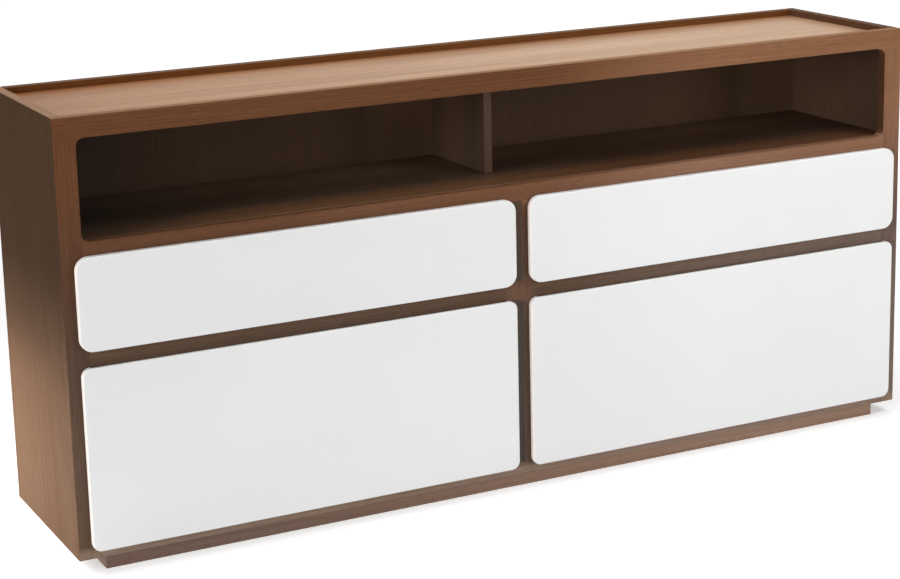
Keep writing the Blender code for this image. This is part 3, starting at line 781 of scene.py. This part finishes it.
def lacquer():
    """White satin lacquer over board: near flat, with fine peel, faint wipes and soft edges."""
    material, graph, shader = new_material("white_satin_lacquer")
    own, shift = place(graph)
    spot = graph.vector_math("ADD", own, graph.join(shift, 0.0, shift))
    tone = graph.noise(spot, *LACQUER_TONE_NOISE)
    wipes = graph.stretched_noise(spot, *WIPE_NOISE)
    colour = graph.mix(graph.smooth(tone, *LACQUER_TONE_LIMITS), *LACQUER_COLOURS)
    worn = graph.times(eased(graph), graph.smooth(wipes, *WIPE_LIMITS))
    colour = graph.mix(graph.times(worn, LACQUER_WEAR), colour, LACQUER_WORN)
    # Painted warm reflection of the walnut on the edges that face sideways
    colour = graph.mix(facing(graph, X), colour, graph.mix(tone, *WARM_EDGE_PAINTED_REFLECTION_COLOURS))
    rough = graph.spread(wipes, *LACQUER_ROUGHNESS)
    connect(graph, shader, colour, rough, graph.noise(spot, *PEEL_NOISE), LACQUER_BUMP)
    shader.inputs["Specular IOR Level"].default_value = LACQUER_SPECULAR
    return material


def faced_board(name, face, core, core_axis, sheen, contrast, turns=()):
    """Board with an upright printed figure and a raw particle core on its cut edges.

    face and core are each a light and a dark colour. The turns, painted light and shade, show
    on the cubby's side of the back panel only.
    """
    material, graph, shader = new_material(name)
    own, shift = place(graph)
    marks = figure(graph, along(graph, own, Z), shift)
    colour = wood_colour(graph, marks, *face, PORE_COLOUR, contrast)
    in_cubby = graph.below(graph.split(own)[Y], BACK_MIDDLE_Y)
    # Painted light and shade on the cubby's side of the back panel
    colour = graph.mix(in_cubby, colour, turned_colour(graph, colour, turns))
    chips = graph.node("ShaderNodeTexVoronoi", {"Vector": own, "Scale": CHIP_SCALE})
    core_colour = graph.mix(graph.split(chips.outputs["Color"])[0], *core)
    colour = graph.mix(facing(graph, core_axis), colour, core_colour)
    worn = graph.times(eased(graph), graph.smooth(marks["fibres"], *FACED_WEAR_LIMITS))
    colour = graph.mix(graph.times(worn, FACED_WEAR), colour, core[0])
    finish_wood(graph, shader, marks, colour, sheen, BOARD_BUMP)
    return material


def beech(name, axis):
    """Clear-lacquered beech with short flecks along the grain and darker ends."""
    material, graph, shader = new_material(name)
    own, shift = place(graph)
    light, dark, pore = BEECH_COLOURS
    grain = along(graph, own, axis)
    marks = figure(graph, grain, shift)
    colour = wood_colour(graph, marks, light, dark, pore, BEECH_CONTRAST)
    flecks = graph.smooth(graph.stretched_noise(grain, *FLECK_NOISE), *FLECK_LIMITS)
    colour = graph.mix(graph.times(flecks, FLECK_WEIGHT), colour, dark)
    colour = graph.mix(graph.times(facing(graph, axis), END_GRAIN_WEIGHT), colour, dark)
    worn = graph.times(eased(graph), graph.spread(marks["fibres"], 0.0, BEECH_WEAR))
    colour = graph.mix(worn, colour, light)
    finish_wood(graph, shader, marks, colour, BEECH_SHEEN, BOARD_BUMP)
    return material


def plywood():
    """Drawer bottom: birch face across, plies showing on the edges."""
    material, graph, shader = new_material("birch_plywood")
    own, shift = place(graph)
    marks = figure(graph, along(graph, own, X), shift)
    colour = wood_colour(graph, marks, *BIRCH_COLOURS, PLYWOOD_CONTRAST)
    plies = graph.math("PINGPONG", graph.split(own)[Z], PLY_THICKNESS)
    plies = graph.smooth(graph.math("DIVIDE", plies, PLY_THICKNESS), *PLY_LIMITS)
    edge = graph.times(graph.inverse(facing(graph, Z)), graph.times(plies, CROSS_PLY_WEIGHT))
    colour = graph.mix(edge, colour, CROSS_PLY_COLOUR)
    finish_wood(graph, shader, marks, colour, PLYWOOD_SHEEN, BOARD_BUMP)
    return material


def zinc_steel():
    """Zinc-plated steel with rolling marks from front to back and a faint spangle."""
    material, graph, shader = new_material("zinc_plated_steel")
    own, shift = place(graph)
    rolled = graph.stretched_noise(along(graph, own, Y), *ROLLED_NOISE)
    spot = graph.vector_math("ADD", own, graph.join(shift, 0.0, 0.0))
    cloud = graph.noise(spot, *SPANGLE_NOISE)
    spangle = graph.times(graph.smooth(cloud, *SPANGLE_LIMITS), SPANGLE_WEIGHT)
    colour = graph.mix(spangle, graph.mix(rolled, *ZINC_COLOURS), SPANGLE_COLOUR)
    rough = graph.math("MULTIPLY_ADD", rolled, ROLLED_ROUGHNESS, ZINC_ROUGHNESS)
    rough = graph.math("MULTIPLY_ADD", cloud, SPANGLE_ROUGHNESS, rough)
    connect(graph, shader, colour, rough, rolled, STEEL_BUMP)
    shader.inputs["Metallic"].default_value = 1.0
    return material


def silicone():
    """Clear soft buffers with a slightly dusty skin."""
    material, graph, shader = new_material("clear_silicone")
    own, _ = place(graph)
    dust = graph.noise(own, *DUST_NOISE)
    rough = graph.spread(dust, *SILICONE_ROUGHNESS)
    connect(graph, shader, graph.mix(dust, *SILICONE_COLOURS), rough, dust, SILICONE_BUMP)
    shader.inputs["Transmission Weight"].default_value = SILICONE_CLEARNESS
    shader.inputs["IOR"].default_value = SILICONE_IOR
    return material


def smooth_group():
    """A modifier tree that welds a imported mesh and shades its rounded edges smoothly."""
    tree = bpy.data.node_groups.new("welded_and_smoothed", "GeometryNodeTree")
    tree.interface.new_socket("Geometry", in_out="INPUT", socket_type="NodeSocketGeometry")
    tree.interface.new_socket("Geometry", in_out="OUTPUT", socket_type="NodeSocketGeometry")
    graph = Graph(tree)
    start = graph.node("NodeGroupInput")
    welded = graph.node("GeometryNodeMergeByDistance",
                        {"Geometry": start.outputs[0], "Distance": WELD_DISTANCE})
    angle = graph.node("GeometryNodeInputMeshEdgeAngle").outputs["Unsigned Angle"]
    sharp = graph.node("FunctionNodeCompare", {0: angle, 1: SMOOTH_ANGLE},
                       data_type="FLOAT", operation="GREATER_THAN").outputs[0]
    shaded = graph.node("GeometryNodeSetMeshNormal",
                        {"Mesh": welded.outputs[0], "Remove Custom": True,
                         "Edge Sharpness": sharp, "Face Sharpness": False}, mode="SHARPNESS")
    end = graph.node("NodeGroupOutput")
    tree.links.new(shaded.outputs[0], end.inputs[0])
    return tree


def dress(node, material, tree):
    """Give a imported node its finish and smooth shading."""
    thing = NODES[node]
    thing.data.materials.clear()
    thing.data.materials.append(material)
    thing.modifiers.new("smooth_edges", "NODES").node_group = tree
    weighted = thing.modifiers.new("face_weighted_normals", "WEIGHTED_NORMAL")
    weighted.keep_sharp = True


def bay_end_painted_light_turns():
    """The back panel's painted light: paler towards the right end of each bay of the cubby, where
    shade falls.
    """
    turns = [(X, end - BAY_END_FAR, end - BAY_END_NEAR, BAY_END_PAINTED_LIGHT_TONE)
             for end in (DIVIDER_LOW.x, SIDE_LOW.x)]
    undone = tuple(1.0 / part for part in BAY_END_PAINTED_LIGHT_TONE)
    turns.append((X, DIVIDER_LOW.x, DIVIDER_HIGH.x, undone))
    return turns


def board_finishes():
    """The finish of each board of the carcass."""
    side = side_veneer()
    level = veneer("walnut_level", X, Y)
    plinth = veneer("walnut_plinth", X, Y, PLINTH_SHEEN, PLINTH_PAINTED_SHEEN_TONE, (PLINTH_PAINTED_LIGHT_TURN,),
                    PLINTH_CONTRAST)
    plinth_side = veneer("walnut_plinth_side", Y, X, PLINTH_SHEEN, PLINTH_PAINTED_SHEEN_TONE)
    inner = faced_board("brown_faced_board", BROWN_FACE, BROWN_CORE, Y, FACED_SHEEN,
                        FACED_CONTRAST)
    back = faced_board("dark_faced_back", BACK_FACE, BACK_CORE, X, BACK_SHEEN, BACK_CONTRAST,
                       (CUBBY_LEFT_PAINTED_SHADE_TURN, *bay_end_painted_light_turns()))
    return {
        "side_panel_left": side, "side_panel_right": side,
        "face_frame": frame_veneer(),
        "top_board": veneer("walnut_tray", X, Y, TRAY_SHEEN, TRAY_TONE_WITH_PAINTED_SHEEN, TRAY_PAINTED_LIGHT_TURNS,
                            TRAY_CONTRAST),
        "cubby_shelf": veneer("walnut_shelf", X, Y, CUBBY_SHEEN, SHELF_TONE, SHELF_PAINTED_LIGHT_TURNS),
        "bottom_board": level,
        "back_rim_rail": rear_rail_veneer(),
        "cubby_divider": divider_veneer(),
        "back_panel": back, "centre_partition": inner,
        "runner_packer_left": inner, "runner_packer_right": inner,
        "plinth_front": plinth, "plinth_back": plinth,
        "plinth_left": plinth_side, "plinth_right": plinth_side,
    }


def dress_part(steel):
    """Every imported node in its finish."""
    tree = smooth_group()
    finishes = board_finishes()
    beech_side = beech("beech_side", Y)
    endings = {"_front": lacquer(), "_side_inner": beech_side, "_side_outer": beech_side,
               "_back": beech("beech_back", X), "_bottom": plywood(), "_member": steel}
    for node in NODES:
        if node in finishes:
            dress(node, finishes[node], tree)
        else:
            ending = next(e for e in endings if node.endswith(e))
            dress(node, endings[ending], tree)


def add_turned(form, foot, outward, radius, height, rings):
    """Add one turned piece to a mesh, standing on its foot along a direction."""
    outward = Vector(outward)
    up = Vector((0.0, 0.0, 1.0))
    aside = outward.cross(up)
    loops = []
    for rise, reach, crossed in rings:
        loop = []
        for step in range(TURNED_STEPS):
            angle = math.tau * step / TURNED_STEPS
            share = CROSS_SHARES[step % len(CROSS_SHARES)] if crossed else 1.0
            arm = (up * math.cos(angle) + aside * math.sin(angle)) * radius * reach * share
            loop.append(form.verts.new(Vector(foot) + outward * height * rise + arm))
        loops.append(loop)
    for low, high in zip(loops, loops[1:]):
        for first, second in zip(range(TURNED_STEPS), (*range(1, TURNED_STEPS), 0)):
            form.faces.new((low[first], low[second], high[second], high[first]))
    form.faces.new(loops[0])
    form.faces.new(loops[-1])


def fittings(name, body, material, places):
    """One piece of many small fittings on a body: foot, direction and the kind of each."""
    mesh = bpy.data.meshes.new(name)
    form = bmesh.new()
    for foot, outward, kind in places:
        add_turned(form, foot, outward, *FITTING_KINDS[kind])
    bmesh.ops.recalc_face_normals(form, faces=form.faces)
    form.to_mesh(mesh)
    form.free()
    mesh.shade_smooth()
    mesh.set_sharp_from_angle(angle=SMOOTH_ANGLE)
    mesh.materials.append(material)
    piece = bpy.data.objects.new(name, mesh)
    bpy.context.scene.collection.objects.link(piece)
    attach(piece, body)


def runner_screws(drawer):
    """Screws through the inner members into the drawer's sides."""
    places = []
    for hand in ("inner", "outer"):
        member_low, member_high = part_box(f"{drawer}_runner_{hand}_inner_member")
        side_low, side_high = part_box(f"{drawer}_side_{hand}")
        outward = 1.0 if member_low.x > side_low.x else -1.0
        face = side_high.x if outward > 0 else side_low.x
        x = face + outward * (FIT_GAP + RUNNER_STEEL)
        z = (member_low.z + member_high.z) / 2
        middle = (member_low.y + member_high.y) / 2
        for y in (member_low.y + SCREW_FROM_END, middle, member_high.y - SCREW_FROM_END):
            places.append(((x, y, z), (outward, 0.0, 0.0), "screw"))
    return places


def cam_fittings(drawer, shares):
    """Cam fittings in the drawer's sides, at shares of their height, which pull the front on."""
    places = []
    for hand, other in (("inner", "outer"), ("outer", "inner")):
        side_low, side_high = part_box(f"{drawer}_side_{hand}")
        inward = 1.0 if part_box(f"{drawer}_side_{other}")[0].x > side_low.x else -1.0
        x = side_high.x if inward > 0 else side_low.x
        rise = side_high.z - side_low.z
        for share in shares:
            foot = (x, side_low.y + CAM_FROM_FRONT, side_low.z + rise * share)
            places.append((foot, (inward, 0.0, 0.0), "cam"))
    return places


def buffers(drawer, sign):
    """Two soft buffers on the outer stile, behind the corners of a front."""
    front_low, front_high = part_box(f"{drawer}_front")
    edge = front_high.x if sign > 0 else front_low.x
    x = (edge + sign * STILE_INNER_X) / 2
    return [((x, FRAME_LOW.y, z), (0.0, -1.0, 0.0), "buffer")
            for z in (front_low.z + BUFFER_FROM_CORNER, front_high.z - BUFFER_FROM_CORNER)]


def middle_z(node):
    """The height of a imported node's middle."""
    low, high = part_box(node)
    return (low.z + high.z) / 2


def back_screws():
    """Screws through the back panel into the shelf, the bottom and the uprights."""
    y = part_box("back_panel")[1].y
    bottom_z = middle_z("bottom_board")
    shelf_z = middle_z("cubby_shelf")
    level_x = [sign * (SIDE_LOW.x - BAY_SCREW_FROM_SIDE - BAY_SCREW_STEP * step)
               for sign in HANDS.values() for step in range(BAY_SCREWS)]
    upright_z = [shelf_z - PARTITION_SCREW_BELOW_SHELF - PARTITION_SCREW_STEP * step
                 for step in range(PARTITION_SCREWS)]
    upright_z += [bottom_z, middle_z("cubby_divider")]
    spots = [(x, z) for z in (bottom_z, shelf_z) for x in level_x]
    spots += [(0.0, z) for z in upright_z]
    return [((x, y, z), (0.0, 1.0, 0.0), "screw") for x, z in spots]


def add_fittings(steel):
    """All small fittings, each on the body that carries it."""
    pads = []
    for row in ROWS:
        for hand, sign in HANDS.items():
            drawer = f"{row}_{hand}_drawer"
            places = runner_screws(drawer) + cam_fittings(drawer, CAM_HEIGHT_SHARES[row])
            fittings(f"{drawer}_fixings", drawer, steel, places)
            pads += buffers(drawer, sign)
    fittings("front_buffers", "carcass", silicone(), pads)
    fittings("back_panel_screws", "carcass", steel, back_screws())


def camera_matrix():
    """The camera's placement from its yaw from +Y towards +X, pitch down and roll."""
    forward = Vector((math.sin(CAMERA_YAW) * math.cos(CAMERA_PITCH),
                      math.cos(CAMERA_YAW) * math.cos(CAMERA_PITCH), -math.sin(CAMERA_PITCH)))
    right = Vector((math.cos(CAMERA_YAW), -math.sin(CAMERA_YAW), 0.0))
    down = forward.cross(right)
    turned_right = right * math.cos(CAMERA_ROLL) + down * math.sin(CAMERA_ROLL)
    turned_down = down * math.cos(CAMERA_ROLL) - right * math.sin(CAMERA_ROLL)
    turn = Matrix((turned_right, -turned_down, -forward)).transposed().to_4x4()
    return Matrix.Translation(CAMERA_PLACE) @ turn


def add_camera():
    """The camera with its shifted lens."""
    data = bpy.data.cameras.new("camera")
    data.sensor_fit = "HORIZONTAL"
    data.sensor_width = SENSOR_WIDTH_MM
    data.lens = FOCAL_PIXELS * SENSOR_WIDTH_MM / PICTURE_WIDTH_PIXELS
    data.shift_y = (LENS_AXIS_ROW_PIXELS - PICTURE_HEIGHT_PIXELS / 2) / PICTURE_WIDTH_PIXELS
    data.clip_end = CLIP_END
    camera = bpy.data.objects.new("camera", data)
    bpy.context.scene.collection.objects.link(camera)
    camera.matrix_world = camera_matrix()
    bpy.context.scene.camera = camera


def seen_directly(graph):
    """1 for rays from the camera, off gloss or through glass; 0 for the light on the object."""
    path = graph.node("ShaderNodeLightPath").outputs
    seen = graph.math("MAXIMUM", path["Is Camera Ray"], path["Is Glossy Ray"])
    return graph.math("MAXIMUM", seen, path["Is Transmission Ray"])


def floor_material():
    """Pale floor whose far part, as seen, fades into the white background."""
    material, graph, shader = new_material("pale_floor")
    own = graph.node("ShaderNodeTexCoord").outputs["Object"]
    colour = graph.mix(graph.noise(own, *FLOOR_NOISE), FLOOR_DARK, FLOOR_LIGHT)
    graph.fill(shader.inputs["Base Color"], colour)
    graph.fill(shader.inputs["Emission Color"], WHITE)
    away = graph.smooth(graph.vector_math("LENGTH", own), FLOOR_NEAR_RADIUS, FLOOR_FAR_RADIUS)
    lift = graph.spread(away, FLOOR_LIFT_NEAR, FLOOR_LIFT_FAR)
    graph.fill(shader.inputs["Emission Strength"], graph.times(seen_directly(graph), lift))
    shader.inputs["Roughness"].default_value = FLOOR_ROUGHNESS
    shader.inputs["Specular IOR Level"].default_value = FLOOR_SPECULAR
    return material


def add_floor():
    """A plain pale floor that keeps the shadow and meets the white background."""
    mesh = bpy.data.meshes.new("studio_floor")
    form = bmesh.new()
    bmesh.ops.create_grid(form, x_segments=FLOOR_SEGMENTS, y_segments=FLOOR_SEGMENTS,
                          size=FLOOR_HALF_SIZE)
    form.to_mesh(mesh)
    form.free()
    mesh.materials.append(floor_material())
    floor = bpy.data.objects.new("studio_floor", mesh)
    bpy.context.scene.collection.objects.link(floor)


def add_world():
    """White where it is seen, a soft even dome where it lights the object."""
    world = bpy.data.worlds.new("studio")
    bpy.context.scene.world = world
    world.use_nodes = True
    world.node_tree.nodes.clear()
    graph = Graph(world.node_tree)
    height = graph.split(graph.node("ShaderNodeTexCoord").outputs["Generated"])[Z]
    dome = graph.mix(graph.smooth(height, *AMBIENT_LIMITS), AMBIENT_LOW, AMBIENT_HIGH)
    colour = graph.mix(seen_directly(graph), dome, WHITE)
    background = graph.node("ShaderNodeBackground", {"Color": colour, "Strength": 1.0})
    output = graph.node("ShaderNodeOutputWorld")
    graph.tree.links.new(background.outputs[0], output.inputs["Surface"])


def add_softbox(name, place_at, aim_at, size, power):
    """A rectangular soft light."""
    data = bpy.data.lights.new(name, "AREA")
    data.shape = "RECTANGLE"
    data.size, data.size_y = size
    data.energy = power
    lamp = bpy.data.objects.new(name, data)
    bpy.context.scene.collection.objects.link(lamp)
    lamp.location = place_at
    lamp.visible_camera = False
    lamp.rotation_euler = (Vector(aim_at) - Vector(place_at)).to_track_quat("-Z", "Y").to_euler()


bpy.context.scene.view_settings.view_transform = "Standard"
zinc = zinc_steel()
dress_part(zinc)
add_fittings(zinc)
add_camera()
add_floor()
add_world()
for softbox in SOFTBOXES:
    add_softbox(*softbox)
